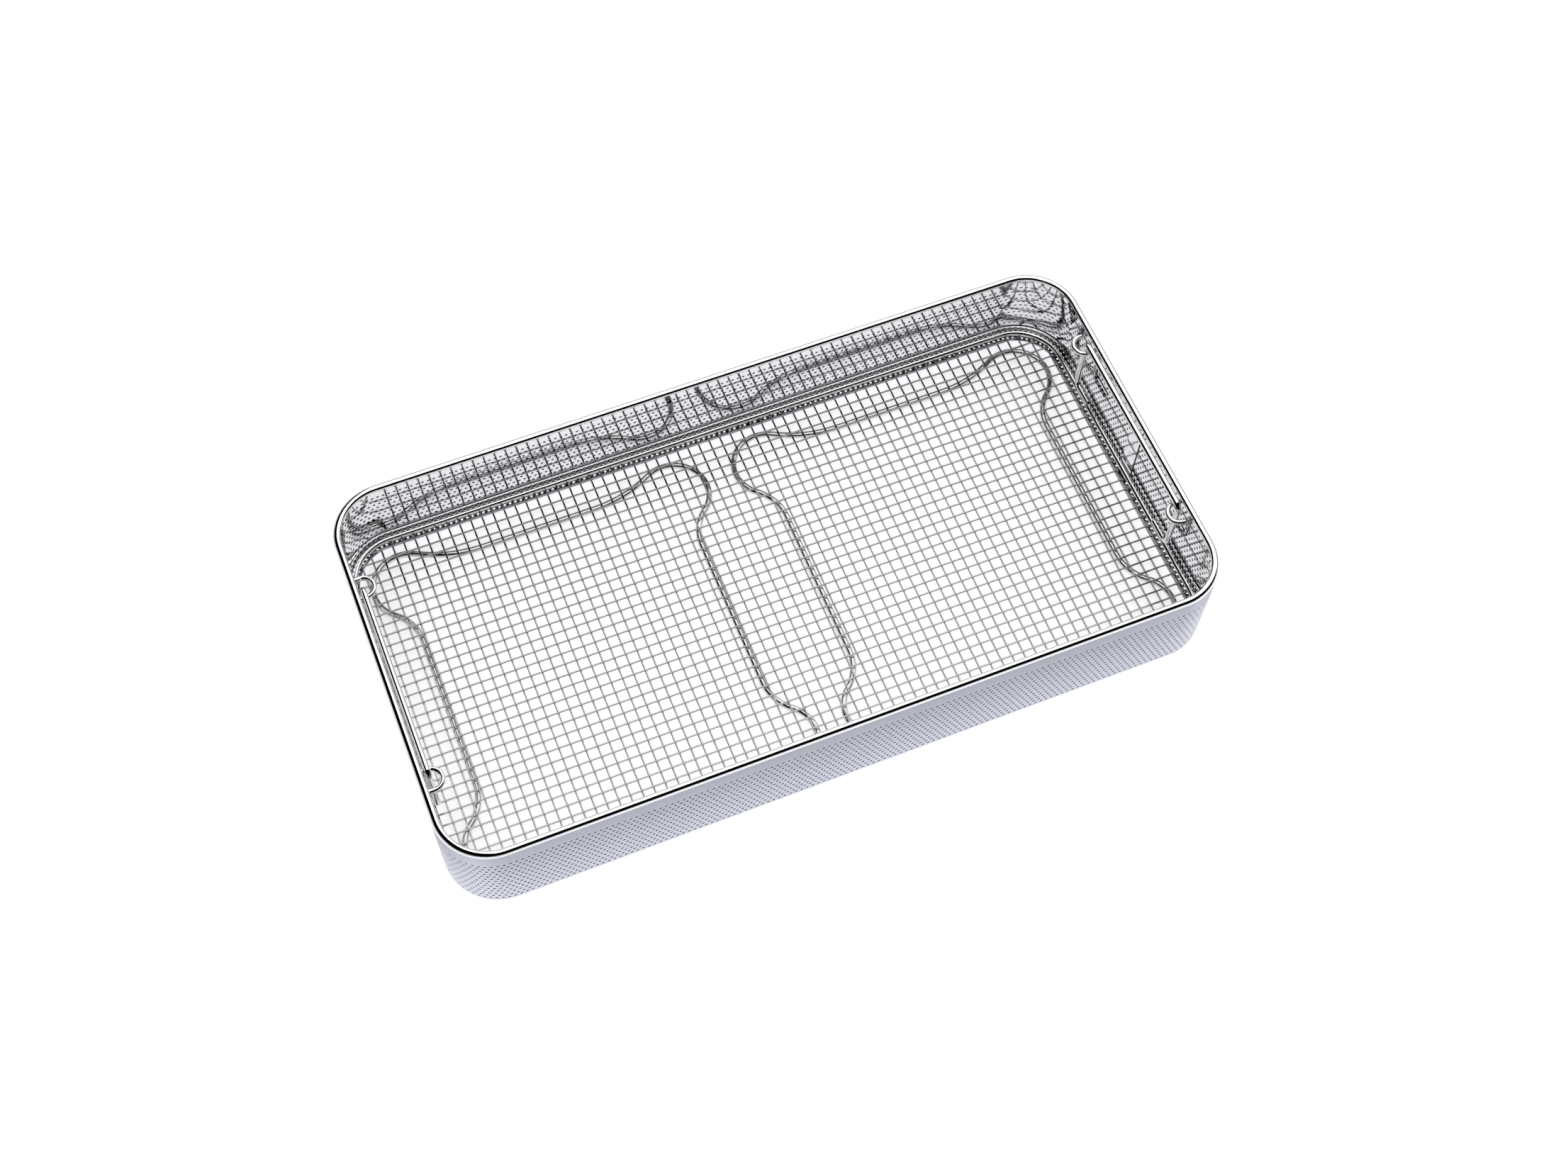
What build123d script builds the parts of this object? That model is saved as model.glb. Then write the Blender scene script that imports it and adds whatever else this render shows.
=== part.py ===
"""Instrument tray: perforated side wall, wire mesh bottom and two lift-up handles.

Millimetres, +Z up, origin on the resting plane in the middle of the tray's plan.
+X runs along the length and +Y runs towards the back.
"""

from build123d import *
from math import sqrt
import os

os.makedirs("parts", exist_ok=True)

# ---------------------------------------------------------------- driving sizes
LENGTH = 480.0  # over the outside of the side wall
WIDTH = 250.0
HEIGHT = 70.0  # resting plane to the top of the rim rod
CORNER_R = 33.5  # outside corner radius of the side wall, in plan

SHEET = 1.0  # thickness of the side wall
WALL_TOP = 68.6  # top edge of the sheet, just above the middle of the rim rod
FLANGE_W = 5.0  # inward flange at the foot of the wall
BEND_R = 1.4  # outside radius of the bend between wall and flange
LAP_WIDTH = 12.0  # overlap where the two ends of the strip meet
LAP_STEP = 0.6  # how far the overlapping end stands proud inside
LAP_EDGE_Y = -5.5  # the overlapping end's edge, on the right short side
LAP_GAP = 0.4  # the overlap stops this far short of the rods above and below it

ROD_D = 4.0  # rim rod, base ring, foot wires and handles
MESH_D = 1.2  # wire of the mesh bottom
MESH_PITCH = 7.2  # square mesh
MESH_SHIFT = 2.5  # the mesh is cut from stock, so its grid lies off centre
CROSSWISE_COUNT = 65
LENGTHWISE_COUNT = 33
MESH_END = 0.5  # wires end this far past the base ring's centre line

EYE_D = 3.0  # wire of the D-shaped eyes that guide the handles
EYE_BEND_R = 6.5  # centre-line radius of an eye's round end
EYE_REACH = 13.5  # wall to the centre line of the round end
EYE_Y = 64.5
EYE_Z = 62.0
EYE_ROOT = 0.3  # weld penetration into the wall

HANDLE_X = 232.5  # each handle lies in one upright plane
HANDLE_LEG_Y = 63.0
HANDLE_BAR_Z = 65.9
HANDLE_TOE_Z = 22.0
HANDLE_TOE_Y = 46.0  # the turned-in toes end here
HANDLE_BEND_R = 5.0
TOE_EDGE_R = 0.6

LOOP_MID_X = 118.3  # middle of each foot wire's loop
LOOP_WAIST_X = 90.0  # half length of the loop at its waist
LOOP_WAIST_Y = 99.0  # half width of the loop at its waist
LOBE_R = 22.0  # four outward lobes at the loop's corners
LOBE_X = 86.5
LOBE_Y = 90.0
SIDE_SWEEP_R = 80.0  # reverse bend from a lobe to the long side's waist
END_SWEEP_R = 30.0  # reverse bend from a lobe to the short side's waist

WELD = 0.05  # welded wires sink into each other by this much

# ---------------------------------------------------------------- derived sizes
rod_r = ROD_D / 2
mesh_r = MESH_D / 2
inner_x = LENGTH / 2 - SHEET
inner_y = WIDTH / 2 - SHEET
inner_corner = CORNER_R - SHEET

flange_top = ROD_D  # level with the top of the foot wires
flange_bottom = flange_top - SHEET
crosswise_z = flange_top + mesh_r - WELD
lengthwise_z = crosswise_z + MESH_D - WELD
ring_z = lengthwise_z + mesh_r + rod_r - WELD
rim_z = HEIGHT - rod_r
foot_z = rod_r

rod_x = inner_x - rod_r + WELD  # centre line of the two rods that line the wall
rod_y = inner_y - rod_r + WELD
rod_corner = inner_corner - rod_r + WELD


def export_piece(part, name):
    """Label a finished piece and write it to its own file."""
    part.label = name
    export_step(part, f"parts/{name}.step")


# ---------------------------------------------------------------- side wall and flange
with BuildPart() as wall_strip:
    with BuildSketch(Plane.XY.offset(flange_bottom)):
        RectangleRounded(LENGTH, WIDTH, CORNER_R)
    extrude(amount=WALL_TOP - flange_bottom)
    fillet(wall_strip.faces().sort_by(Axis.Z)[0].edges(), BEND_R)
    # space inside the wall, down to the flange
    with BuildSketch(Plane.XY.offset(flange_top)):
        RectangleRounded(2 * inner_x, 2 * inner_y, inner_corner)
    extrude(amount=WALL_TOP, mode=Mode.SUBTRACT)
    # window that the mesh spans
    with BuildSketch(Plane.XY):
        RectangleRounded(
            2 * (inner_x - FLANGE_W), 2 * (inner_y - FLANGE_W), inner_corner - FLANGE_W
        )
    extrude(amount=HEIGHT, mode=Mode.SUBTRACT)
    # overlapping end of the strip, between the base ring and the rim rod
    lap_bottom = ring_z + rod_r + LAP_GAP
    lap_height = rim_z - rod_r - LAP_GAP - lap_bottom
    with Locations((inner_x - LAP_STEP, LAP_EDGE_Y, lap_bottom)):
        Box(
            LAP_STEP + SHEET / 2,
            LAP_WIDTH,
            lap_height,
            align=(Align.MIN, Align.MIN, Align.MIN),
        )

bend_line = Plane.XY.offset(flange_bottom + BEND_R)

with BuildPart() as side_wall:
    add(wall_strip.part)
    split(bisect_by=bend_line, keep=Keep.TOP)
export_piece(side_wall.part, "side_wall")

with BuildPart() as wall_flange:
    add(wall_strip.part)
    split(bisect_by=bend_line, keep=Keep.BOTTOM)
export_piece(wall_flange.part, "wall_flange")


# ---------------------------------------------------------------- rods along the wall
def wall_rod(height):
    """A closed rod that lines the wall at one height."""
    with BuildPart() as rod:
        with BuildLine(Plane.XY.offset(height)) as path:
            FilletPolyline(
                (rod_x, -rod_y),
                (rod_x, rod_y),
                (-rod_x, rod_y),
                (-rod_x, -rod_y),
                radius=rod_corner,
                close=True,
            )
        with BuildSketch(Plane(origin=path.wire() @ 0, z_dir=path.wire() % 0)):
            Circle(rod_r)
        sweep(path=path.wire())
    return rod.part


export_piece(wall_rod(rim_z), "rim_rod")
export_piece(wall_rod(ring_z), "base_ring")


# ---------------------------------------------------------------- mesh bottom
def half_span(offset, along, across):
    """Half length of a wire that lies `offset` from the middle of the mesh."""
    corner = rod_corner + MESH_END
    into_corner = abs(offset) - (across - corner)
    if into_corner <= 0:
        return along
    return along - corner + sqrt(corner**2 - into_corner**2)


mesh_end_x = rod_x + MESH_END
mesh_end_y = rod_y + MESH_END

with BuildPart() as crosswise:
    for index in range(CROSSWISE_COUNT):
        x = MESH_SHIFT + (index - (CROSSWISE_COUNT - 1) / 2) * MESH_PITCH
        with Locations(Location((x, 0, crosswise_z), (90, 0, 0))):
            Cylinder(mesh_r, 2 * half_span(x, mesh_end_y, mesh_end_x))
export_piece(crosswise.part, "mesh_wires_crosswise")

with BuildPart() as lengthwise:
    for index in range(LENGTHWISE_COUNT):
        y = MESH_SHIFT + (index - (LENGTHWISE_COUNT - 1) / 2) * MESH_PITCH
        with Locations(Location((0, y, lengthwise_z), (0, 90, 0))):
            Cylinder(mesh_r, 2 * half_span(y, mesh_end_x, mesh_end_y))
export_piece(lengthwise.part, "mesh_wires_lengthwise")


# ---------------------------------------------------------------- foot wires
def foot_wire(middle_x):
    """A closed loop with a lobe at each corner and a waist on each side."""
    side_reach = LOBE_R + SIDE_SWEEP_R
    side_y = LOOP_WAIST_Y + SIDE_SWEEP_R
    side_centre = Vector(LOBE_X - sqrt(side_reach**2 - (side_y - LOBE_Y) ** 2), side_y)
    end_reach = LOBE_R + END_SWEEP_R
    end_x = LOOP_WAIST_X + END_SWEEP_R
    end_centre = Vector(end_x, LOBE_Y - sqrt(end_reach**2 - (end_x - LOBE_X) ** 2))
    lobe = Vector(LOBE_X, LOBE_Y)
    to_side = (side_centre - lobe).normalized()
    to_end = (end_centre - lobe).normalized()
    # one quarter of the loop, from the long side's middle to the short side's middle
    side_middle = (0, LOOP_WAIST_Y)
    side_bend = (side_centre.X, LOOP_WAIST_Y)
    side_sweep = side_centre - (to_side + Vector(0, 1)).normalized() * SIDE_SWEEP_R
    lobe_start = lobe + to_side * LOBE_R
    lobe_tip = lobe + Vector(1, 1).normalized() * LOBE_R
    lobe_end = lobe + to_end * LOBE_R
    end_sweep = end_centre - (to_end + Vector(1, 0)).normalized() * END_SWEEP_R
    end_bend = (LOOP_WAIST_X, end_centre.Y)
    end_middle = (LOOP_WAIST_X, 0)
    with BuildPart() as loop:
        with BuildLine(Plane((middle_x, 0, foot_z))) as path:
            for flip_x, flip_y in ((1, 1), (1, -1), (-1, -1), (-1, 1)):

                def at(point):
                    return (Vector(point).X * flip_x, Vector(point).Y * flip_y)

                Line(at(side_middle), at(side_bend))
                ThreePointArc(at(side_bend), at(side_sweep), at(lobe_start))
                ThreePointArc(at(lobe_start), at(lobe_tip), at(lobe_end))
                ThreePointArc(at(lobe_end), at(end_sweep), at(end_bend))
                Line(at(end_bend), at(end_middle))
        with BuildSketch(Plane(origin=path.wire() @ 0, z_dir=path.wire() % 0)):
            Circle(rod_r)
        sweep(path=path.wire())
    return loop.part


export_piece(foot_wire(-LOOP_MID_X), "foot_wire_left")
export_piece(foot_wire(LOOP_MID_X), "foot_wire_right")


# ---------------------------------------------------------------- handle eyes
def handle_eye(side, end):
    """A D-shaped wire eye; side is -1 on the left and end is -1 at the front."""
    wall_x = side * (inner_x + EYE_ROOT)
    bend_x = side * (inner_x - EYE_REACH + EYE_BEND_R)
    tip_x = side * (inner_x - EYE_REACH)
    middle_y = end * EYE_Y
    with BuildPart() as eye:
        with BuildLine(Plane.XY.offset(EYE_Z)) as path:
            Line((wall_x, middle_y - EYE_BEND_R), (bend_x, middle_y - EYE_BEND_R))
            ThreePointArc(
                (bend_x, middle_y - EYE_BEND_R), (tip_x, middle_y), (bend_x, middle_y + EYE_BEND_R)
            )
            Line((bend_x, middle_y + EYE_BEND_R), (wall_x, middle_y + EYE_BEND_R))
        with BuildSketch(Plane(origin=path.line @ 0, z_dir=path.line % 0)):
            Circle(EYE_D / 2)
        sweep(path=path.line)
    return eye.part


for side, side_name in ((-1, "left"), (1, "right")):
    for end, end_name in ((-1, "front"), (1, "back")):
        export_piece(handle_eye(side, end), f"handle_eye_{side_name}_{end_name}")


# ---------------------------------------------------------------- handles
def handle(plane_x):
    """A bent wire: a bar, two legs through the eyes, and two toes turned inwards."""
    with BuildPart() as bent_wire:
        with BuildLine(Plane.YZ.offset(plane_x)) as path:
            FilletPolyline(
                (-HANDLE_TOE_Y, HANDLE_TOE_Z),
                (-HANDLE_LEG_Y, HANDLE_TOE_Z),
                (-HANDLE_LEG_Y, HANDLE_BAR_Z),
                (HANDLE_LEG_Y, HANDLE_BAR_Z),
                (HANDLE_LEG_Y, HANDLE_TOE_Z),
                (HANDLE_TOE_Y, HANDLE_TOE_Z),
                radius=HANDLE_BEND_R,
            )
        with BuildSketch(Plane(origin=path.line @ 0, z_dir=path.line % 0)):
            Circle(rod_r)
        sweep(path=path.line)
        ends = bent_wire.faces().filter_by(GeomType.PLANE)
        fillet(ends.edges(), TOE_EDGE_R)
    return bent_wire.part


export_piece(handle(-HANDLE_X), "handle_left")
export_piece(handle(HANDLE_X), "handle_right")
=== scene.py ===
"""Looks of a wire-bottomed instrument tray: perforated wall, welded mesh, polished wires.

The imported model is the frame. Sizes in the code are metres; the panel shows them with units.
"""

import math

import bpy
from bpy.props import FloatProperty, FloatVectorProperty, IntProperty, PointerProperty
from mathutils import Matrix, Vector


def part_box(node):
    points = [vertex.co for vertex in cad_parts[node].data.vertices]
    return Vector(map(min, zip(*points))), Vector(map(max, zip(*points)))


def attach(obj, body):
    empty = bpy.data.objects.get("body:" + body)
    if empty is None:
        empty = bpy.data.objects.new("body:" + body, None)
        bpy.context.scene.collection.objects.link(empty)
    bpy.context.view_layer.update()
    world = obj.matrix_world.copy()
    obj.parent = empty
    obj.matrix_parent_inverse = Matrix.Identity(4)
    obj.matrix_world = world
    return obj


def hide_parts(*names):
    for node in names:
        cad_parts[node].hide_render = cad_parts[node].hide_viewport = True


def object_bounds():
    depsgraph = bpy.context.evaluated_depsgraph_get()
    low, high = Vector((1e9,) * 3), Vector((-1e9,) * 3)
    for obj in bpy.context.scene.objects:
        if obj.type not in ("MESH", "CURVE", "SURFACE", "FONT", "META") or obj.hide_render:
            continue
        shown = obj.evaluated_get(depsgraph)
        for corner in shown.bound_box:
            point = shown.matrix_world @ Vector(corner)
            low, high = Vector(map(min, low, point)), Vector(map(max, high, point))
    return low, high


bl_info = {
    "name": "Instrument Tray Looks",
    "version": (1, 0, 0),
    "blender": (4, 5, 0),
    "location": "View3D > Sidebar > Tray",
    "description": "Perforated wall, welded mesh and polished wires of an instrument tray",
    "category": "Object",
}

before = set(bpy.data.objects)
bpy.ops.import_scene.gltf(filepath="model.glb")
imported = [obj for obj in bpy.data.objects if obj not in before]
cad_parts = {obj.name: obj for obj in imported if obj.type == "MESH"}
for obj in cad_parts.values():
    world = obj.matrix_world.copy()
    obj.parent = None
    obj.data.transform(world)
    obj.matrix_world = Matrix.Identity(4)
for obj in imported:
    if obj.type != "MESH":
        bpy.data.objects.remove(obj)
CAD_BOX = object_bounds()
LENGTH, WIDTH, _ = CAD_BOX[1] - CAD_BOX[0]

BODY = "tray"
SIDES = {"left": -1, "right": 1}
ENDS = ("front", "back")

# the wall's material slots, in order
OUTSIDE, INSIDE, ROLLED, THROAT, FLANGE = range(5)
FLANGE_LEVELS = 3  # strips of the wall's profile that lie in the flange
HOLE_CORNERS = 8  # corners of a hole, one for each point of its cell's outline
ROLL_SHARE = 0.18  # share of the sheet that a hole's rolled edge runs in

# creases sharper than these stay sharp
WALL_CREASE = math.radians(44)
LAP_CREASE = math.radians(30)
BEAD_CREASE = math.radians(80)

# colour of a finish, as a share of the colour that it starts from
ROLLED_TONE = 1.12
# near-black: painted shade inside the holes' throats and on the lap's cut edge
THROAT_SHADE_TONE = 0.015
# half as bright: painted shade on the flange's top, under the base ring and the mesh
FLANGE_SHADE_TONE = 0.5
FOOT_TONE = 0.74
BEAD_TONE = 0.8

# every steel finish
STREAK_RANGE = (0.3, 0.7)  # streak values that give the smoothest and the roughest steel
RELIEF_DEPTH = 0.0005
WELD_DULLNESS = 0.2  # roughness that a mesh weld adds

# the studio; sizes and places are in tray lengths
FLOOR_REACH = 40
FLOOR_GLOW = 0.45
TABLE_FADE = (0.02, 0.18)  # from the tray's sides to where mirror rays see a dark floor
DARK = (0.02, 0.02, 0.02, 1.0)
BLACK = (0.0, 0.0, 0.0, 1.0)
SKY_COLOUR = (0.97, 0.98, 1.0, 1.0)
SKY_STRENGTH = 0.9
PANEL_SIDE = 12
PANEL_LEFT, PANEL_FRONT, PANEL_HEIGHT = -0.62, -0.68, 2.1
PANEL_STRENGTH = 1.45  # energy for each square metre, over pi
KEY_SIDES = (2, 3)
KEY_PLACE = (-1, -1, 4)
KEY_ENERGY = 6.0


# ---------------------------------------------------------------- settings
class WallSettings(bpy.types.PropertyGroup):
    """Sizes and finish of the perforated side wall."""

    sheet: FloatProperty(
        name="Sheet Thickness",
        description="Thickness of the perforated strip",
        default=0.001,
        unit="LENGTH",
        precision=4,
    )
    corner: FloatProperty(
        name="Corner Radius",
        description="Outside radius of the wall's corners, in plan",
        default=0.0335,
        unit="LENGTH",
        precision=4,
    )
    flange: FloatProperty(
        name="Flange Width",
        description="Inward flange at the foot of the wall, from the wall's inner face",
        default=0.005,
        unit="LENGTH",
        precision=4,
    )
    bend: FloatProperty(
        name="Bend Radius",
        description="Outside radius of the bend between wall and flange",
        default=0.0014,
        unit="LENGTH",
        precision=4,
    )
    hole: FloatProperty(
        name="Hole Diameter",
        description="Diameter of the punched holes",
        default=0.0018,
        unit="LENGTH",
        precision=5,
    )
    roll: FloatProperty(
        name="Edge Roll",
        description="Width of the rolled edge that the punch leaves round each hole",
        default=0.00012,
        unit="LENGTH",
        precision=5,
    )
    columns: IntProperty(
        name="Hole Columns",
        description="Holes in each row, all the way round the wall",
        default=400,
        min=40,
    )
    rows: IntProperty(
        name="Hole Rows",
        description="Rows of holes up the wall; every second row is shifted by half a pitch",
        default=14,
        min=2,
    )
    row_pitch: FloatProperty(
        name="Row Pitch",
        description="Height from one row of holes to the next",
        default=0.00374,
        unit="LENGTH",
        precision=5,
    )
    first_row: FloatProperty(
        name="First Row",
        description="Height of the lowest row of holes above the resting plane",
        default=0.0069,
        unit="LENGTH",
        precision=4,
    )
    lap_edge: FloatProperty(
        name="Lap Edge",
        description="Place along the right short side where the strip's inner end stops",
        default=-0.0055,
        unit="LENGTH",
        precision=4,
    )
    lap_width: FloatProperty(
        name="Lap Width",
        description="Plain overlap of the strip's two ends",
        default=0.012,
        unit="LENGTH",
        precision=4,
    )
    lap_step: FloatProperty(
        name="Lap Step",
        description="How far the strip's inner end stands proud of the wall",
        default=0.0006,
        unit="LENGTH",
        precision=5,
    )
    colour: FloatVectorProperty(
        name="Outside Colour",
        description="Colour of the satin outer face",
        subtype="COLOR",
        default=(0.62, 0.63, 0.72),
        min=0,
        max=1,
    )
    bright: FloatVectorProperty(
        name="Inside Colour",
        description="Colour of the bright inner face",
        subtype="COLOR",
        default=(0.84, 0.845, 0.87),
        min=0,
        max=1,
    )


class MeshSettings(bpy.types.PropertyGroup):
    """Welds and finish of the mesh bottom."""

    pitch: FloatProperty(
        name="Mesh Pitch",
        description="Distance from one wire to the next",
        default=0.0072,
        unit="LENGTH",
        precision=5,
    )
    nugget: FloatProperty(
        name="Weld Width",
        description="Width of the squeezed metal where two mesh wires cross",
        default=0.0017,
        unit="LENGTH",
        precision=5,
    )
    colour: FloatVectorProperty(
        name="Wire Colour",
        description="Colour of the mesh wires",
        subtype="COLOR",
        default=(0.55, 0.55, 0.55),
        min=0,
        max=1,
    )


class WireSettings(bpy.types.PropertyGroup):
    """Finish of the polished rods, the eyes and the handles."""

    colour: FloatVectorProperty(
        name="Polished Colour",
        description="Colour of the polished wires",
        subtype="COLOR",
        default=(0.88, 0.88, 0.88),
        min=0,
        max=1,
    )
    bead: FloatProperty(
        name="Weld Bead",
        description="Thickness of the weld bead round each root of an eye",
        default=0.0009,
        unit="LENGTH",
        precision=5,
    )


class StageSettings(bpy.types.PropertyGroup):
    """Floor, light and camera."""

    azimuth: FloatProperty(
        name="Azimuth",
        description="Camera's direction round the tray; 0 looks along +Y",
        default=math.radians(-23.86),
        subtype="ANGLE",
    )
    elevation: FloatProperty(
        name="Elevation",
        description="Camera's height above the horizon",
        default=math.radians(62.16),
        subtype="ANGLE",
    )
    roll: FloatProperty(
        name="Roll",
        description="Camera's turn about its own line of sight",
        default=math.radians(2.03),
        subtype="ANGLE",
    )
    distance: FloatProperty(
        name="Distance",
        description="Camera's distance from the point that it looks at",
        default=1.2747,
        unit="LENGTH",
    )
    aim: FloatVectorProperty(
        name="Aim",
        description="Point that the camera looks at",
        subtype="TRANSLATION",
        unit="LENGTH",
        default=(0.0017, -0.0097, 0.030),
    )
    lens: FloatProperty(
        name="Lens",
        description="Focal length in millimetres, on a sensor 36 mm wide",
        default=48.9,
    )
    floor: FloatVectorProperty(
        name="Floor Colour",
        description="Colour of the pale floor",
        subtype="COLOR",
        default=(0.93, 0.93, 0.93),
        min=0,
        max=1,
    )


# ---------------------------------------------------------------- helpers
def settings(context):
    """The tray's settings on this scene."""
    scene = context.scene
    return scene.tray_wall, scene.tray_mesh, scene.tray_wires, scene.tray_stage


def add_object(name, mesh, slots, body=BODY):
    """Link a mesh as an object with its material slots, riding on a body."""
    obj = bpy.data.objects.new(name, mesh)
    bpy.context.scene.collection.objects.link(obj)
    for material in slots:
        mesh.materials.append(material)
    if body:
        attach(obj, body)
    return obj


def dress(node, material):
    """Give every slot of a CAD node the same material."""
    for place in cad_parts[node].material_slots:
        place.material = material


def toned(colour, share):
    """A colour made darker or brighter, full at most."""
    return tuple(min(1.0, c * share) for c in colour)


def finish_mesh(mesh, sharp_angle):
    """Smooth shading with real creases, and checked topology."""
    mesh.validate(verbose=False)
    mesh.shade_smooth()
    mesh.set_sharp_from_angle(angle=sharp_angle)
    mesh.update()


def torus(centre, axis, ring_r, bead_r, around=20, across=8):
    """Points and faces of a closed ring of round section about an axis."""
    turn = axis.to_track_quat("Z", "Y").to_matrix()
    points, faces = [], []
    for i in range(around):
        u = math.tau * i / around
        for j in range(across):
            v = math.tau * j / across
            reach = ring_r + bead_r * math.cos(v)
            local = Vector((reach * math.cos(u), reach * math.sin(u), bead_r * math.sin(v)))
            points.append(centre + turn @ local)
            a, b = (i + 1) % around, (j + 1) % across
            faces.append((i * across + j, a * across + j, a * across + b, i * across + b))
    return points, faces


def gather(parts):
    """One point list and face list from several."""
    points, faces = [], []
    for part_points, part_faces in parts:
        base = len(points)
        points.extend(part_points)
        faces.extend(tuple(base + i for i in face) for face in part_faces)
    return points, faces


# ---------------------------------------------------------------- material groups
def group_input(group, name, value):
    """Add a float input with its default to a node group."""
    socket = group.interface.new_socket(name=name, in_out="INPUT", socket_type="NodeSocketFloat")
    socket.default_value = value


def polish_marks():
    """Cloudy tone, fine drawn streaks and a height, for every steel surface."""
    group = bpy.data.node_groups.get("Polish Marks")
    if group:
        return group
    group = bpy.data.node_groups.new("Polish Marks", "ShaderNodeTree")
    group.interface.new_socket(name="Place", in_out="INPUT", socket_type="NodeSocketVector")
    group_input(group, "Cloud Scale", 30.0)
    group_input(group, "Streak Scale", 900.0)
    group_input(group, "Streak Share", 0.5)
    for name in ("Tone", "Streaks", "Height"):
        group.interface.new_socket(name=name, in_out="OUTPUT", socket_type="NodeSocketFloat")
    nodes, links = group.nodes, group.links
    inputs = nodes.new("NodeGroupInput")
    outputs = nodes.new("NodeGroupOutput")
    cloud = nodes.new("ShaderNodeTexNoise")
    cloud.inputs["Detail"].default_value = 4.0
    streak = nodes.new("ShaderNodeTexNoise")
    streak.inputs["Detail"].default_value = 3.0
    height = nodes.new("ShaderNodeMix")
    links.new(inputs.outputs["Place"], cloud.inputs["Vector"])
    links.new(inputs.outputs["Cloud Scale"], cloud.inputs["Scale"])
    links.new(inputs.outputs["Place"], streak.inputs["Vector"])
    links.new(inputs.outputs["Streak Scale"], streak.inputs["Scale"])
    links.new(inputs.outputs["Streak Share"], height.inputs["Factor"])
    links.new(cloud.outputs["Fac"], height.inputs["A"])
    links.new(streak.outputs["Fac"], height.inputs["B"])
    links.new(cloud.outputs["Fac"], outputs.inputs["Tone"])
    links.new(streak.outputs["Fac"], outputs.inputs["Streaks"])
    links.new(height.outputs["Result"], outputs.inputs["Height"])
    return group


def weld_tint_and_shade():
    """A mask that is 1 at the crossings of a square grid and 0 between them."""
    group = bpy.data.node_groups.get("Weld Tint And Contact Shade")
    if group:
        return group
    group = bpy.data.node_groups.new("Weld Tint And Contact Shade", "ShaderNodeTree")
    group.interface.new_socket(name="Place", in_out="INPUT", socket_type="NodeSocketVector")
    group_input(group, "Pitch", 0.0072)
    group_input(group, "Start X", 0.0)
    group_input(group, "Start Y", 0.0)
    group_input(group, "Reach", 0.0015)
    group.interface.new_socket(name="Mask", in_out="OUTPUT", socket_type="NodeSocketFloat")
    nodes, links = group.nodes, group.links
    inputs = nodes.new("NodeGroupInput")
    outputs = nodes.new("NodeGroupOutput")
    start = nodes.new("ShaderNodeCombineXYZ")
    links.new(inputs.outputs["Start X"], start.inputs["X"])
    links.new(inputs.outputs["Start Y"], start.inputs["Y"])
    shifted = nodes.new("ShaderNodeVectorMath")
    shifted.operation = "SUBTRACT"
    links.new(inputs.outputs["Place"], shifted.inputs[0])
    links.new(start.outputs["Vector"], shifted.inputs[1])
    split = nodes.new("ShaderNodeSeparateXYZ")
    links.new(shifted.outputs["Vector"], split.inputs["Vector"])
    away = nodes.new("ShaderNodeCombineXYZ")
    for axis in ("X", "Y"):
        wave = nodes.new("ShaderNodeMath")
        wave.operation = "PINGPONG"
        half = nodes.new("ShaderNodeMath")
        half.operation = "MULTIPLY"
        half.inputs[1].default_value = 0.5
        links.new(inputs.outputs["Pitch"], half.inputs[0])
        links.new(split.outputs[axis], wave.inputs[0])
        links.new(half.outputs["Value"], wave.inputs[1])
        links.new(wave.outputs["Value"], away.inputs[axis])
    distance = nodes.new("ShaderNodeVectorMath")
    distance.operation = "LENGTH"
    links.new(away.outputs["Vector"], distance.inputs[0])
    mask = nodes.new("ShaderNodeMapRange")
    mask.interpolation_type = "SMOOTHSTEP"
    links.new(distance.outputs["Value"], mask.inputs["Value"])
    links.new(inputs.outputs["Reach"], mask.inputs["From Max"])
    mask.inputs["To Min"].default_value = 1.0
    mask.inputs["To Max"].default_value = 0.0
    links.new(mask.outputs["Result"], outputs.inputs["Mask"])
    return group


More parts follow.
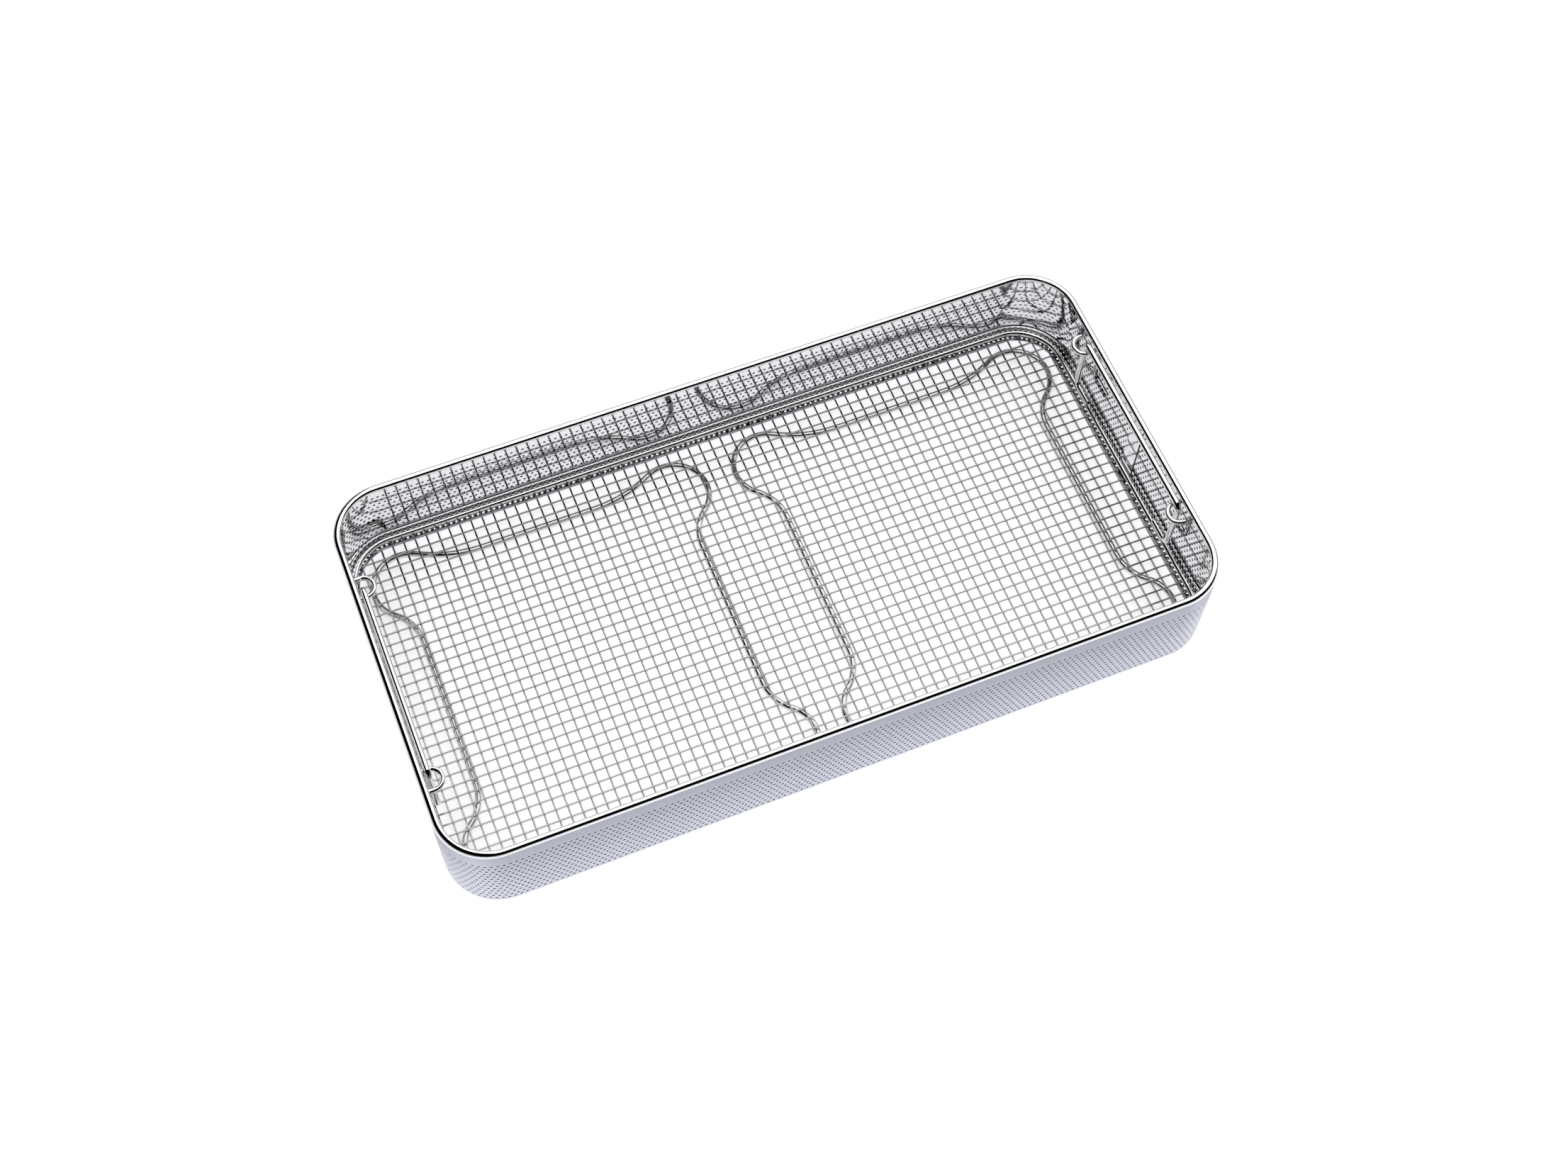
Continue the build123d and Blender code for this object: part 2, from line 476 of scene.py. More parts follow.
def steel(
    name,
    colour,
    shade,
    rough,
    stretch=(1.0, 1.0, 1.0),
    cloud=30.0,
    streak=900.0,
    bump=0.02,
    welds=None,
    metallic=1.0,
):
    """A stainless steel finish: rough is (smoothest, roughest), shade darkens the clouds."""
    material = bpy.data.materials.new(name)
    material.use_nodes = True
    nodes, links = material.node_tree.nodes, material.node_tree.links
    shader = nodes["Principled BSDF"]
    shader.inputs["Metallic"].default_value = metallic
    place = nodes.new("ShaderNodeTexCoord")
    mapping = nodes.new("ShaderNodeMapping")
    mapping.inputs["Scale"].default_value = stretch
    links.new(place.outputs["Object"], mapping.inputs["Vector"])
    marks = nodes.new("ShaderNodeGroup")
    marks.node_tree = polish_marks()
    marks.inputs["Cloud Scale"].default_value = cloud
    marks.inputs["Streak Scale"].default_value = streak
    links.new(mapping.outputs["Vector"], marks.inputs["Place"])
    tone = nodes.new("ShaderNodeMix")
    tone.data_type = "RGBA"
    tone.inputs["A"].default_value = (*(c * shade for c in colour), 1.0)
    tone.inputs["B"].default_value = (*colour, 1.0)
    links.new(marks.outputs["Tone"], tone.inputs["Factor"])
    colour_out = tone.outputs["Result"]
    roughness = nodes.new("ShaderNodeMapRange")
    roughness.inputs["From Min"].default_value = STREAK_RANGE[0]
    roughness.inputs["From Max"].default_value = STREAK_RANGE[1]
    roughness.inputs["To Min"].default_value = rough[0]
    roughness.inputs["To Max"].default_value = rough[1]
    links.new(marks.outputs["Streaks"], roughness.inputs["Value"])
    rough_out = roughness.outputs["Result"]
    if welds:
        crossing_mask = nodes.new("ShaderNodeGroup")
        crossing_mask.node_tree = weld_tint_and_shade()
        crossing_mask.inputs["Pitch"].default_value = welds["pitch"]
        crossing_mask.inputs["Start X"].default_value = welds["start"][0]
        crossing_mask.inputs["Start Y"].default_value = welds["start"][1]
        crossing_mask.inputs["Reach"].default_value = welds["reach"]
        links.new(place.outputs["Object"], crossing_mask.inputs["Place"])
        # darker at the crossings: weld heat tint, and painted contact shade where the wires touch
        tinted_and_shaded = nodes.new("ShaderNodeMix")
        tinted_and_shaded.data_type = "RGBA"
        tinted_and_shaded.inputs["B"].default_value = (*welds["colour"], 1.0)
        links.new(crossing_mask.outputs["Mask"], tinted_and_shaded.inputs["Factor"])
        links.new(colour_out, tinted_and_shaded.inputs["A"])
        colour_out = tinted_and_shaded.outputs["Result"]
        dimmed = nodes.new("ShaderNodeMath")
        dimmed.operation = "MULTIPLY_ADD"
        dimmed.inputs[1].default_value = WELD_DULLNESS
        links.new(crossing_mask.outputs["Mask"], dimmed.inputs[0])
        links.new(rough_out, dimmed.inputs[2])
        rough_out = dimmed.outputs["Value"]
    links.new(colour_out, shader.inputs["Base Color"])
    links.new(rough_out, shader.inputs["Roughness"])
    relief = nodes.new("ShaderNodeBump")
    relief.inputs["Strength"].default_value = bump
    relief.inputs["Distance"].default_value = RELIEF_DEPTH
    links.new(marks.outputs["Height"], relief.inputs["Height"])
    links.new(relief.outputs["Normal"], shader.inputs["Normal"])
    return material


# ---------------------------------------------------------------- side wall
class Perimeter:
    """Stations round a rounded rectangle, counted along the middle of the sheet."""

    def __init__(self, half_x, half_y, corner, sheet, start_y):
        self.straight_x = half_x - corner
        self.straight_y = half_y - corner
        self.corner = corner
        self.half_x = half_x
        self.half_y = half_y
        self.arc = math.pi / 2 * (corner - sheet / 2)
        self.length = 4 * (self.straight_x + self.straight_y + self.arc)
        self.start_y = start_y

    def at(self, station):
        """The outer face's corner or foot point, the outward normal and the radius there."""
        s = (station + self.start_y + self.straight_y) % self.length
        sides = (
            (2 * self.straight_y, (1, 0)),
            (2 * self.straight_x, (0, 1)),
            (2 * self.straight_y, (-1, 0)),
            (2 * self.straight_x, (0, -1)),
        )
        for run, (nx, ny) in sides:
            tangent = Vector((-ny, nx))
            normal = Vector((nx, ny))
            middle = Vector((nx * self.half_x, ny * self.half_y))
            if s <= run:
                return middle + tangent * (s - run / 2), normal, 0.0
            s -= run
            if s <= self.arc:
                centre = middle + tangent * (run / 2) - normal * self.corner
                angle = math.pi / 2 * s / self.arc
                turned = normal * math.cos(angle) + tangent * math.sin(angle)
                return centre, turned, self.corner
            s -= self.arc
        # rounding can leave a station just past the last corner, which is the start
        return Vector((self.half_x, -self.straight_y)), Vector((1, 0)), 0.0

    def point(self, station, inset, height):
        """The point at a station, that far inside the outer face."""
        base, normal, radius = self.at(station)
        plan = base + normal * (radius - inset)
        return Vector((plan.x, plan.y, height))


def wall_profile(wall, foot, top):
    """Outer and inner (inset, height) at each level up the strip, and which levels hold holes."""
    levels = []
    width = wall.sheet + wall.flange
    straight = width - wall.bend
    hole_low = (straight - wall.row_pitch) / 2
    upper = foot + wall.sheet

    def flat(run):
        inset = width - run
        levels.append(((inset, foot), (inset, upper)))

    flat(0.0)
    flat(hole_low)
    flat(hole_low + wall.row_pitch)
    holes = [1]
    flat(straight)
    inner_bend = wall.bend - wall.sheet
    bend_steps = 4
    for step in range(1, bend_steps + 1):
        angle = math.pi / 2 * step / bend_steps
        drop, reach = math.cos(angle), math.sin(angle)
        outer = (wall.bend * (1 - reach), foot + wall.bend * (1 - drop))
        inner = (wall.bend - inner_bend * reach, foot + wall.bend - inner_bend * drop)
        levels.append((outer, inner))
    low = wall.first_row - wall.row_pitch / 2
    for row in range(wall.rows + 1):
        height = low + row * wall.row_pitch
        if row < wall.rows:
            holes.append(len(levels))
        levels.append(((0.0, height), (wall.sheet, height)))
    # the plain band under the rim, in two strips
    for share in (0.5, 1.0):
        height = levels[-1][0][1] + (top - levels[-1][0][1]) * share
        levels.append(((0.0, height), (wall.sheet, height)))
    return levels, holes


def halfway(a, b):
    """The middle of two (inset, height) places."""
    return (a[0] + b[0]) / 2, (a[1] + b[1]) / 2


class PerforatedStrip:
    """Points and faces of the perforated strip, laid out level by level."""

    def __init__(self, wall, perimeter, levels):
        self.wall = wall
        self.perimeter = perimeter
        self.levels = levels
        self.stations = 2 * wall.columns
        self.step = perimeter.length / self.stations
        self.plain = wall.lap_width / self.step  # stations that the plain lap takes
        self.points, self.faces, self.finish = [], [], []
        self.rings = [
            [self.add_pair(i * self.step, *level) for i in range(self.stations)]
            for level in levels
        ]

    def add_pair(self, station, outer, inner):
        """Add an outer and an inner point; the inner one always follows the outer one."""
        self.points.append(self.perimeter.point(station, *outer))
        self.points.append(self.perimeter.point(station, *inner))
        return len(self.points) - 2

    def add_face(self, corners, slot):
        """Add one face with its material slot."""
        self.faces.append(tuple(corners))
        self.finish.append(slot)

    def add_both(self, corners, level):
        """Add the same face on the outer and the inner side of the sheet."""
        self.add_face(corners, OUTSIDE)
        # the flange's upper faces take a darker copy of the inside steel: painted shade under the
        # base ring
        inside = FLANGE if level < FLANGE_LEVELS else INSIDE
        self.add_face((corner + 1 for corner in reversed(corners)), inside)

    def fill_plain(self, level):
        """Faces all the way round between two levels."""
        lower, upper = self.rings[level], self.rings[level + 1]
        for i in range(self.stations):
            j = (i + 1) % self.stations
            self.add_both((lower[i], lower[j], upper[j], upper[i]), level)

    def fill_holes(self, level, row):
        """Cells with a hole in each between two levels, plain where the strip's ends lap."""
        lower, upper = self.rings[level], self.rings[level + 1]
        middles = [halfway(a, b) for a, b in zip(self.levels[level], self.levels[level + 1])]
        first = 1 + row % 2
        sides = {}
        for centre in range(first, self.stations + first, 2):
            before, middle, after = (c % self.stations for c in (centre - 1, centre, centre + 1))
            if 0 < middle < self.plain:
                self.add_both((lower[before], lower[middle], upper[middle], upper[before]), level)
                self.add_both((lower[middle], lower[after], upper[after], upper[middle]), level)
                continue
            for edge in (before, after):
                if edge not in sides and not self.beside_lap(edge, row):
                    sides[edge] = self.add_pair(edge * self.step, *middles)
            rim = self.add_rim(level, middle * self.step)
            outline = (
                sides.get(after),
                upper[after],
                upper[middle],
                upper[before],
                sides.get(before),
                lower[before],
                lower[middle],
                lower[after],
            )
            self.fill_cell(level, outline, rim)

    def beside_lap(self, edge, row):
        """True where a hole's cell borders the plain lap, which has no middle points."""
        first = row % 2
        centres = range(1 + first, int(self.plain) + 2, 2)
        last = max(centre for centre in centres if centre < self.plain) + 1
        return edge in (first, last)

    def add_rim(self, level, station):
        """Add a hole's points: at each corner its rolled edge, its inner edge and its throat."""
        below, above = self.levels[level], self.levels[level + 1]
        half_cell = math.dist(below[0], above[0]) / 2
        throat = self.wall.hole / 2
        layers = ((throat + self.wall.roll, 0.0), (throat, 1.0), (throat, ROLL_SHARE))
        rim = []
        for k in range(HOLE_CORNERS):
            angle = math.tau * k / HOLE_CORNERS
            rim.append(len(self.points))
            for radius, depth in layers:
                along = math.cos(angle) * radius
                up = math.sin(angle) * radius / half_cell / 2
                outer, inner = (
                    [m + (b - a) * up for m, a, b in zip(halfway(low, high), low, high)]
                    for low, high in zip(below, above)
                )
                place = (a + (b - a) * depth for a, b in zip(outer, inner))
                self.points.append(self.perimeter.point(station + along, *place))
        return rim

    def fill_cell(self, level, outline, rim):
        """Faces between a cell's outline and its hole, and the hole's own walls."""
        for k in range(HOLE_CORNERS):
            m = (k + 1) % HOLE_CORNERS
            if outline[k] is None:
                # no middle point beside the plain lap: one face spans both halves
                self.add_both((outline[k - 1], outline[m], rim[m], rim[k], rim[k - 1]), level)
            elif outline[m] is not None:
                self.add_both((outline[k], outline[m], rim[m], rim[k]), level)
            self.add_face((rim[k], rim[m], rim[m] + 2, rim[k] + 2), ROLLED)
            # the hole's throat, below its rolled edge, takes the near-black painted shade
            self.add_face((rim[k] + 2, rim[m] + 2, rim[m] + 1, rim[k] + 1), THROAT)

    def close_edges(self):
        """Faces along the strip's two long edges."""
        for edge, flip in ((self.rings[0], False), (self.rings[-1], True)):
            for i in range(self.stations):
                j = (i + 1) % self.stations
                corners = (edge[i] + 1, edge[j] + 1, edge[j], edge[i])
                self.add_face(reversed(corners) if flip else corners, ROLLED)


def wall_mesh(wall):
    """The perforated strip with its flange, as one closed mesh."""
    foot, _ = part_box("wall_flange")
    _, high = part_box("side_wall")
    perimeter = Perimeter(high.x, high.y, wall.corner, wall.sheet, wall.lap_edge)
    levels, hole_levels = wall_profile(wall, foot.z, high.z)
    strip = PerforatedStrip(wall, perimeter, levels)
    for level in range(len(levels) - 1):
        if level in hole_levels:
            strip.fill_holes(level, hole_levels.index(level))
        else:
            strip.fill_plain(level)
    strip.close_edges()
    mesh = bpy.data.meshes.new("side_wall_perforated")
    mesh.from_pydata(strip.points, [], strip.faces)
    mesh.polygons.foreach_set("material_index", strip.finish)
    return mesh, perimeter


def lap_mesh(wall, perimeter):
    """The strip's inner end: a plain tongue with a square cut edge and a line of spot welds."""
    _, ring_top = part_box("base_ring")
    rim_low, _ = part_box("rim_rod")
    gap = 0.0004
    low, high = ring_top.z + gap, rim_low.z - gap
    ease = 0.00015
    inner = wall.sheet + wall.lap_step
    outline = [
        (0.0, wall.sheet - ease),
        (0.0, inner),
        (wall.lap_width - ease, inner),
        (wall.lap_width, inner - ease),
        (wall.lap_width, wall.sheet - ease),
    ]
    points = [perimeter.point(s, inset, z) for z in (low, high) for s, inset in outline]
    count = len(outline)
    faces = [(i, i + 1, i + 1 + count, i + count) for i in range(count - 1)]
    faces.append((count - 1, 0, count, 2 * count - 1))
    faces.append(tuple(reversed(range(count))))
    faces.append(tuple(range(count, 2 * count)))
    parts = [(points, faces)]
    spots = 5
    for spot in range(spots):
        height = low + (high - low) * (spot + 0.5) / spots
        parts.append(spot_weld(perimeter, wall.lap_width / 2, height, inner))
    points, faces = gather(parts)
    mesh = bpy.data.meshes.new("wall_lap")
    mesh.from_pydata(points, [], faces)
    # slot 1 is the near-black painted shade
    mesh.polygons[0].material_index = 1  # the strip's cut edge
    return mesh


def spot_weld(perimeter, station, height, inset, radius=0.0016, depth=0.00012):
    """A shallow round print left by a spot weld, a low ring round a flat middle."""
    rings = ((1.0, -0.1), (0.86, 1.0), (0.7, 0.9), (0.55, 0.25), (0.25, 0.15))
    around = 20
    points = []
    for share, rise in rings:
        for i in range(around):
            turn = math.tau * i / around
            along = station + radius * share * math.cos(turn)
            up = height + radius * share * math.sin(turn)
            points.append(perimeter.point(along, inset + depth * rise, up))
    faces = []
    for ring in range(len(rings) - 1):
        for i in range(around):
            j = (i + 1) % around
            a, b = ring * around, (ring + 1) * around
            faces.append((a + j, a + i, b + i, b + j))
    last = (len(rings) - 1) * around
    faces.append(tuple(last + i for i in reversed(range(around))))
    faces.append(tuple(range(around)))
    return points, faces


class TRAY_OT_side_wall(bpy.types.Operator):
    """Build the perforated wall and the lap of its ends, in place of the plain wall"""

    bl_idname = "tray.side_wall"
    bl_label = "Perforated Side Wall"

    def execute(self, context):
        wall = settings(context)[0]
        satin = steel(
            "Satin Sheet Outside",
            wall.colour,
            shade=0.95,
            rough=(0.34, 0.44),
            stretch=(1.0, 1.0, 6.0),
            streak=700.0,
            bump=0.03,
        )
        bright = steel(
            "Bright Sheet Inside",
            wall.bright,
            shade=0.96,
            rough=(0.01, 0.03),
            cloud=220.0,
            bump=0.03,
        )
        rolled = steel(
            "Rolled Hole Edge",
            toned(wall.bright, ROLLED_TONE),
            shade=0.95,
            rough=(0.3, 0.4),
            cloud=900.0,
            streak=3000.0,
            bump=0.05,
            metallic=0.15,
        )
        # rough torn steel, painted near-black for the shade inside each hole's throat; the lap's
        # cut edge takes it too
        torn_and_shaded = steel(
            "Torn Hole Edge With Painted Shade",
            toned(wall.bright, THROAT_SHADE_TONE),
            shade=0.6,
            rough=(0.35, 0.55),
            cloud=900.0,
            streak=3000.0,
            bump=0.2,
        )
        # the bright inside steel at half its colour: painted shade on the flange's top, under the
        # base ring
        dimmed = steel(
            "Flange Painted Shade",
            toned(wall.bright, FLANGE_SHADE_TONE),
            shade=0.85,
            rough=(0.01, 0.04),
            cloud=300.0,
            streak=1500.0,
        )
        mesh, perimeter = wall_mesh(wall)
        slots = (satin, bright, rolled, torn_and_shaded, dimmed)
        obj = add_object("side_wall_perforated", mesh, slots)
        finish_mesh(mesh, WALL_CREASE)
        lap = lap_mesh(wall, perimeter)
        add_object("wall_lap", lap, (bright, torn_and_shaded))
        finish_mesh(lap, LAP_CREASE)
        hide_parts("side_wall", "wall_flange")
        return {"FINISHED"}


# ---------------------------------------------------------------- mesh bottom
def wire_places(node, axis, pitch):
    """Centre lines of a node's parallel wires, worked out from its box."""
    low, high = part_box(node)
    thickness = high.z - low.z
    first, last = low[axis] + thickness / 2, high[axis] - thickness / 2
    count = round((last - first) / pitch) + 1
    return [first + i * pitch for i in range(count)], thickness


def nugget(centre, width, height, around=8, rings=3):
    """A flattened bead where two wires were welded through each other."""
    points = [centre - Vector((0, 0, height / 2))]
    for ring in range(1, rings + 1):
        tilt = math.pi * ring / (rings + 1)
        reach = width / 2 * math.sin(tilt)
        level = centre.z - height / 2 * math.cos(tilt)
        for i in range(around):
            turn = math.tau * (i + 0.5) / around
            x = centre.x + reach * math.cos(turn)
            y = centre.y + reach * math.sin(turn)
            points.append(Vector((x, y, level)))
    points.append(centre + Vector((0, 0, height / 2)))
    faces = []
    top = len(points) - 1
    for i in range(around):
        j = (i + 1) % around
        faces.append((0, 1 + j, 1 + i))
        for ring in range(rings - 1):
            a, b = 1 + ring * around, 1 + (ring + 1) * around
            faces.append((a + i, a + j, b + j, b + i))
        last = 1 + (rings - 1) * around
        faces.append((last + i, last + j, top))
    return points, faces


def inside_plan(x, y, half_x, half_y, corner):
    """True if a point is inside a rounded rectangle about the middle."""
    dx = max(abs(x) - (half_x - corner), 0.0)
    dy = max(abs(y) - (half_y - corner), 0.0)
    return abs(x) <= half_x and abs(y) <= half_y and math.hypot(dx, dy) <= corner


class TRAY_OT_mesh_bottom(bpy.types.Operator):
    """Finish the mesh wires and add the welds at their crossings"""

    bl_idname = "tray.mesh_bottom"
    bl_label = "Welded Mesh Bottom"

    def execute(self, context):
        wall, grid, _, _ = settings(context)
        across_x, thickness = wire_places("mesh_wires_crosswise", 0, grid.pitch)
        along_y, _ = wire_places("mesh_wires_lengthwise", 1, grid.pitch)
        low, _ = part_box("mesh_wires_crosswise")
        _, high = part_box("mesh_wires_lengthwise")
        middle = (low.z + high.z) / 2
        bead_height = 0.75 * thickness
        ring_gap = 0.001  # no bead where a crossing is nearer the base ring's outside than this
        welds = {
            "pitch": grid.pitch,
            "start": (across_x[0], along_y[0]),
            "reach": 0.0010,
            # darker at the crossings: weld heat tint, and painted contact shade where the wires
            # touch
            "colour": (0.42, 0.42, 0.43),
        }
        wire = steel(
            "Drawn Mesh Wire",
            grid.colour,
            shade=0.86,
            rough=(0.03, 0.08),
            cloud=120.0,
            streak=1500.0,
            bump=0.015,
            welds=welds,
        )
        for node in ("mesh_wires_crosswise", "mesh_wires_lengthwise"):
            dress(node, wire)
        _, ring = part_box("base_ring")
        corner = wall.corner - wall.sheet
        beads = [
            nugget(Vector((x, y, middle)), grid.nugget, bead_height)
            for x in across_x
            for y in along_y
            if inside_plan(x, y, ring.x - ring_gap, ring.y - ring_gap, corner)
        ]
        points, faces = gather(beads)
        mesh = bpy.data.meshes.new("mesh_welds")
        mesh.from_pydata(points, [], faces)
        add_object("mesh_welds", mesh, (wire,))
        finish_mesh(mesh, BEAD_CREASE)
        return {"FINISHED"}


# ---------------------------------------------------------------- rods and feet
class TRAY_OT_rods(bpy.types.Operator):
    """Finish the rim rod, the base ring and the foot wires"""

    bl_idname = "tray.rods"
    bl_label = "Polished Rods"

    def execute(self, context):
        wires = settings(context)[2]
        rod = steel(
            "Mirror Polished Rod",
            wires.colour,
            shade=0.95,
            rough=(0.015, 0.04),
            cloud=80.0,
            bump=0.008,
        )
        foot = steel(
            "Polished Foot Wire",
            toned(wires.colour, FOOT_TONE),
            shade=0.85,
            rough=(0.03, 0.08),
            cloud=120.0,
            bump=0.015,
        )
        for node in ("rim_rod", "base_ring"):
            dress(node, rod)
        for side in SIDES:
            dress(f"foot_wire_{side}", foot)
        return {"FINISHED"}


# ---------------------------------------------------------------- handles and eyes
class TRAY_OT_handles(bpy.types.Operator):
    """Finish the handles and their eyes, and add the weld beads at the eyes' roots"""

    bl_idname = "tray.handles"
    bl_label = "Handles And Eyes"

    def execute(self, context):
        wall, _, wires, _ = settings(context)
        bar = steel(
            "Polished Handle",
            wires.colour,
            shade=0.94,
            rough=(0.04, 0.09),
            cloud=90.0,
            bump=0.012,
        )
        eye = steel(
            "Polished Eye",
            wires.colour,
            shade=0.92,
            rough=(0.05, 0.1),
            cloud=150.0,
            bump=0.015,
        )
        weld = steel(
            "Weld Bead",
            toned(wires.colour, BEAD_TONE),
            shade=0.7,
            rough=(0.2, 0.35),
            cloud=900.0,
            streak=2500.0,
            bump=0.2,
        )
        inner_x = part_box("side_wall")[1].x - wall.sheet
        axis = Vector((1, 0, 0))
        for side, sign in SIDES.items():
            dress(f"handle_{side}", bar)
            beads = []
            for end in ENDS:
                node = f"handle_eye_{side}_{end}"
                dress(node, eye)
                low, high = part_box(node)
                wire_r = (high.z - low.z) / 2
                for y in (low.y + wire_r, high.y - wire_r):
                    root = Vector((sign * inner_x, y, (low.z + high.z) / 2))
                    beads.append(torus(root, axis, wire_r, wires.bead))
            points, faces = gather(beads)
            mesh = bpy.data.meshes.new(f"eye_welds_{side}")
            mesh.from_pydata(points, [], faces)
            add_object(f"eye_welds_{side}", mesh, (weld,))
            finish_mesh(mesh, BEAD_CREASE)
        return {"FINISHED"}


# ---------------------------------------------------------------- stage
class TRAY_OT_stage(bpy.types.Operator):
    """Set the pale floor, the soft studio light and the camera"""

    bl_idname = "tray.stage"
    bl_label = "Floor, Light And Camera"

    def execute(self, context):
        stage = settings(context)[3]
        self.floor(stage)
        self.world(context)
        self.lamps()
        self.camera(context, stage)
        context.scene.view_settings.view_transform = "Standard"
        return {"FINISHED"}

    def floor(self, stage):
        """A wide pale floor that is lit from within, like a light table."""
        size = FLOOR_REACH * LENGTH
        mesh = bpy.data.meshes.new("floor")
        corners = [(-size, -size, 0), (size, -size, 0), (size, size, 0), (-size, size, 0)]
        mesh.from_pydata(corners, [], [(0, 1, 2, 3)])
        material = bpy.data.materials.new("Pale Floor")
        material.use_nodes = True
        shader = material.node_tree.nodes["Principled BSDF"]
        shader.inputs["Base Color"].default_value = (*stage.floor, 1.0)
        shader.inputs["Roughness"].default_value = 0.9
        shader.inputs["Emission Color"].default_value = (1.0, 1.0, 1.0, 1.0)
        shader.inputs["Emission Strength"].default_value = FLOOR_GLOW
        self.dark_surround(material, shader)
        obj = add_object("floor", mesh, (material,), body=None)

    def dark_surround(self, material, shader):
        """Mirror rays see a lit table that fades to dark a little past the tray."""
        nodes, links = material.node_tree.nodes, material.node_tree.links
        place = nodes.new("ShaderNodeNewGeometry")
        size = nodes.new("ShaderNodeVectorMath")
        size.operation = "ABSOLUTE"
        links.new(place.outputs["Position"], size.inputs[0])
        past = nodes.new("ShaderNodeVectorMath")
        past.operation = "SUBTRACT"
        past.inputs[1].default_value = (LENGTH / 2, WIDTH / 2, 0.0)
        links.new(size.outputs["Vector"], past.inputs[0])
        outside = nodes.new("ShaderNodeVectorMath")
        outside.operation = "MAXIMUM"
        links.new(past.outputs["Vector"], outside.inputs[0])
        reach = nodes.new("ShaderNodeVectorMath")
        reach.operation = "LENGTH"
        links.new(outside.outputs["Vector"], reach.inputs[0])
        beyond = nodes.new("ShaderNodeMapRange")
        beyond.inputs["From Min"].default_value = TABLE_FADE[0] * LENGTH
        beyond.inputs["From Max"].default_value = TABLE_FADE[1] * LENGTH
        links.new(reach.outputs["Value"], beyond.inputs["Value"])
        rays = nodes.new("ShaderNodeLightPath")
        share = nodes.new("ShaderNodeMath")
        share.operation = "MULTIPLY"
        links.new(beyond.outputs["Result"], share.inputs[0])
        links.new(rays.outputs["Is Glossy Ray"], share.inputs[1])
        dark = nodes.new("ShaderNodeEmission")
        dark.inputs["Color"].default_value = DARK
        mix = nodes.new("ShaderNodeMixShader")
        links.new(share.outputs["Value"], mix.inputs["Fac"])
        links.new(shader.outputs["BSDF"], mix.inputs[1])
        links.new(dark.outputs["Emission"], mix.inputs[2])
        links.new(mix.outputs["Shader"], nodes["Material Output"].inputs["Surface"])

    def world(self, context):
        """Even light for all but mirror rays, which see a black studio."""
        world = bpy.data.worlds.new("Studio")
        context.scene.world = world
        world.use_nodes = True
        nodes, links = world.node_tree.nodes, world.node_tree.links
        even = nodes["Background"]
        even.inputs["Color"].default_value = SKY_COLOUR
        even.inputs["Strength"].default_value = SKY_STRENGTH
        unlit = nodes.new("ShaderNodeBackground")
        unlit.inputs["Color"].default_value = BLACK
        rays = nodes.new("ShaderNodeLightPath")
        mix = nodes.new("ShaderNodeMixShader")
        links.new(rays.outputs["Is Glossy Ray"], mix.inputs["Fac"])
        links.new(even.outputs["Background"], mix.inputs[1])
        links.new(unlit.outputs["Background"], mix.inputs[2])
        links.new(mix.outputs["Shader"], nodes["World Output"].inputs["Surface"])

    def lamps(self):
        """A wide panel overhead that only mirror rays see, and a soft lamp that they don't."""
        data = bpy.data.lights.new("overhead_panel", "AREA")
        data.size = PANEL_SIDE * LENGTH
        data.energy = PANEL_STRENGTH * math.pi * data.size**2
        panel = bpy.data.objects.new("overhead_panel", data)
        left, front = PANEL_LEFT * LENGTH, PANEL_FRONT * LENGTH
        half = data.size / 2
        panel.location = (left + half, front + half, PANEL_HEIGHT * LENGTH)
        panel.visible_camera = False
        panel.visible_diffuse = False
        bpy.context.scene.collection.objects.link(panel)
        data = bpy.data.lights.new("soft_key", "AREA")
        data.shape = "RECTANGLE"
        data.size, data.size_y = (side * LENGTH for side in KEY_SIDES)
        data.energy = KEY_ENERGY
        lamp = bpy.data.objects.new("soft_key", data)
        lamp.location = [place * LENGTH for place in KEY_PLACE]
        lamp.visible_glossy = False
        lamp.rotation_mode = "QUATERNION"
        lamp.rotation_quaternion = (-lamp.location).to_track_quat("-Z", "Y")
        bpy.context.scene.collection.objects.link(lamp)

    def camera(self, context, stage):
        """A camera on a sphere about the aim point, rolled a little."""
        data = bpy.data.cameras.new("camera")
        data.lens = stage.lens
        data.sensor_width = 36.0
        camera = bpy.data.objects.new("camera", data)
        flat = math.cos(stage.elevation)
        back = Vector(
            (
                math.sin(stage.azimuth) * flat,
                -math.cos(stage.azimuth) * flat,
                math.sin(stage.elevation),
            )
        )
        turn = (-back).to_track_quat("-Z", "Y").to_matrix().to_4x4()
        roll = Matrix.Rotation(stage.roll, 4, "Z")
        place = Matrix.Translation(Vector(stage.aim) + back * stage.distance)
        camera.matrix_world = place @ turn @ roll
        context.scene.collection.objects.link(camera)
        context.scene.camera = camera


# ---------------------------------------------------------------- panel
class TRAY_PT_panel(bpy.types.Panel):
    """The tray's pieces and settings, in the 3D view's sidebar"""

    bl_idname = "TRAY_PT_panel"
    bl_label = "Instrument Tray"
    bl_space_type = "VIEW_3D"
    bl_region_type = "UI"
    bl_category = "Tray"

    def draw(self, context):
        layout = self.layout
        scene = context.scene
        for operator in OPERATORS:
            layout.operator(operator.bl_idname)
        for group in (scene.tray_wall, scene.tray_mesh, scene.tray_wires, scene.tray_stage):
            box = layout.box()
            for name in group.__annotations__:
                box.prop(group, name)


GROUPS = (WallSettings, MeshSettings, WireSettings, StageSettings)
OPERATORS = (
    TRAY_OT_side_wall,
    TRAY_OT_mesh_bottom,
    TRAY_OT_rods,
    TRAY_OT_handles,
    TRAY_OT_stage,
)
CLASSES = (*GROUPS, *OPERATORS, TRAY_PT_panel)


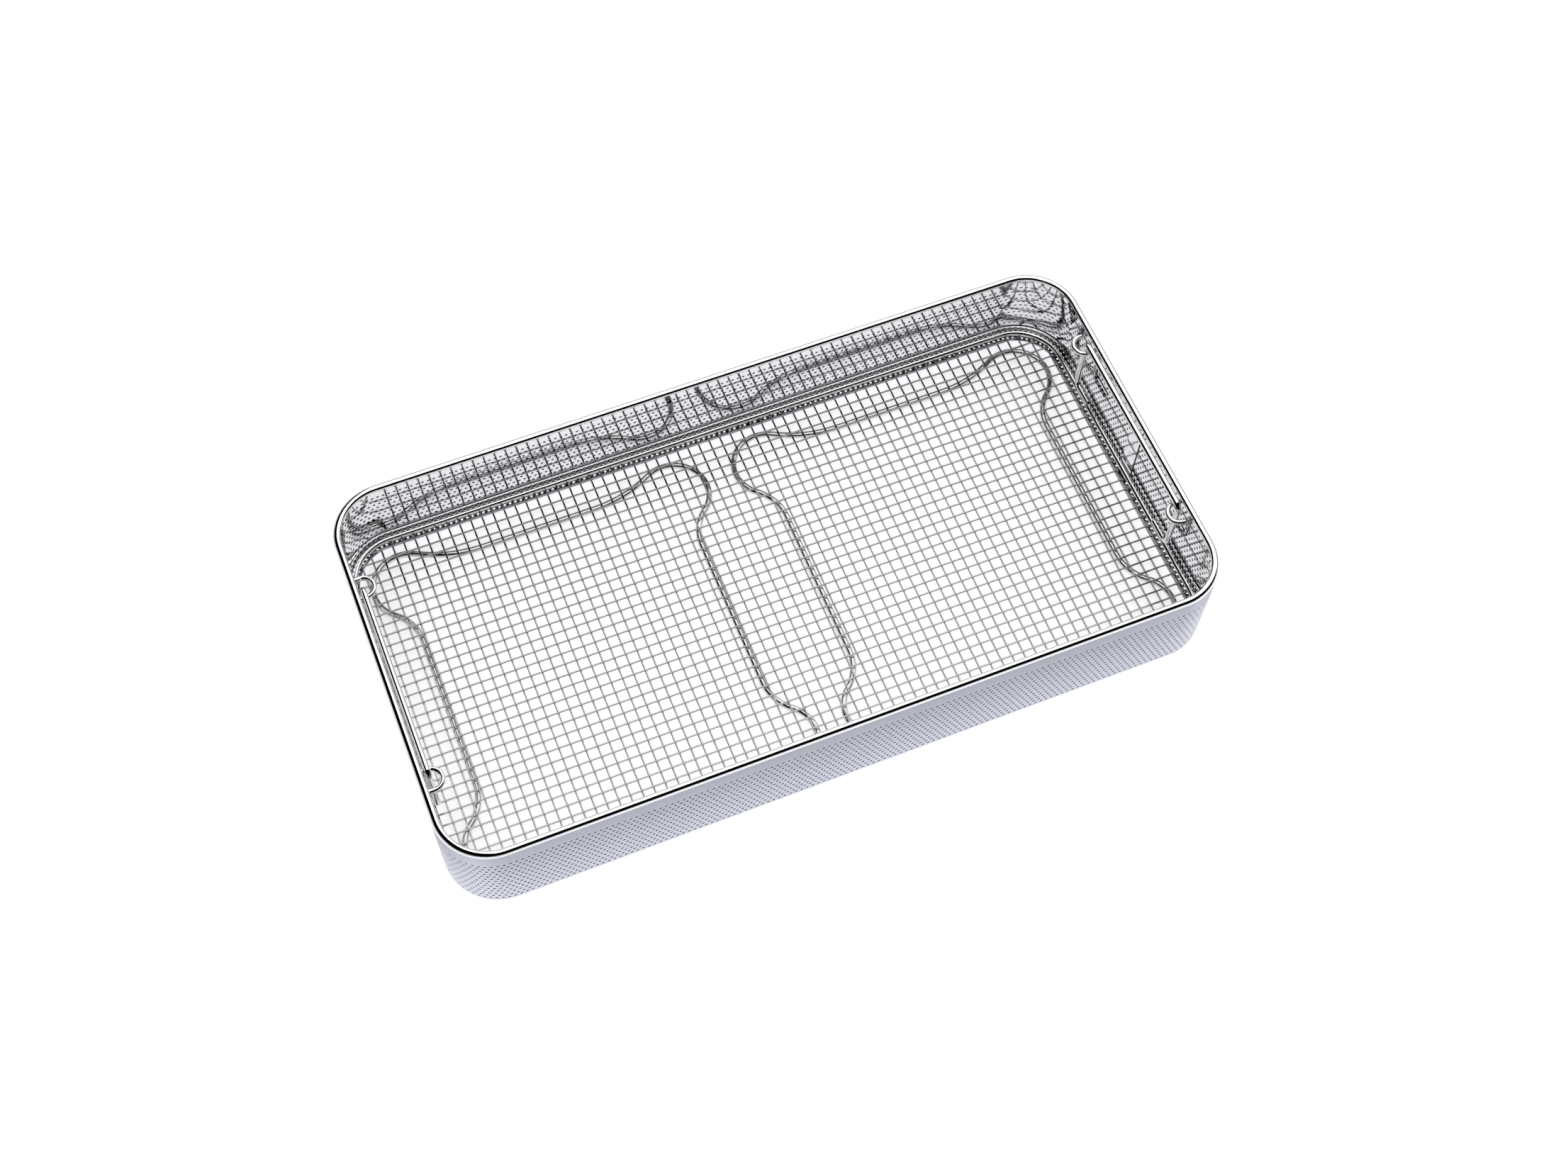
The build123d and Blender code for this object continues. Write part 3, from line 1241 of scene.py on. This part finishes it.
def register():
    """Register the classes and hang the settings on the scene."""
    for cls in CLASSES:
        bpy.utils.register_class(cls)
    bpy.types.Scene.tray_wall = PointerProperty(type=WallSettings)
    bpy.types.Scene.tray_mesh = PointerProperty(type=MeshSettings)
    bpy.types.Scene.tray_wires = PointerProperty(type=WireSettings)
    bpy.types.Scene.tray_stage = PointerProperty(type=StageSettings)


def unregister():
    """Take the settings and the classes away again."""
    for name in ("tray_wall", "tray_mesh", "tray_wires", "tray_stage"):
        delattr(bpy.types.Scene, name)
    for cls in reversed(CLASSES):
        bpy.utils.unregister_class(cls)


def main():
    """Build every piece."""
    register()
    bpy.ops.tray.side_wall()
    bpy.ops.tray.mesh_bottom()
    bpy.ops.tray.rods()
    bpy.ops.tray.handles()
    bpy.ops.tray.stage()


if __name__ == "__main__":
    main()
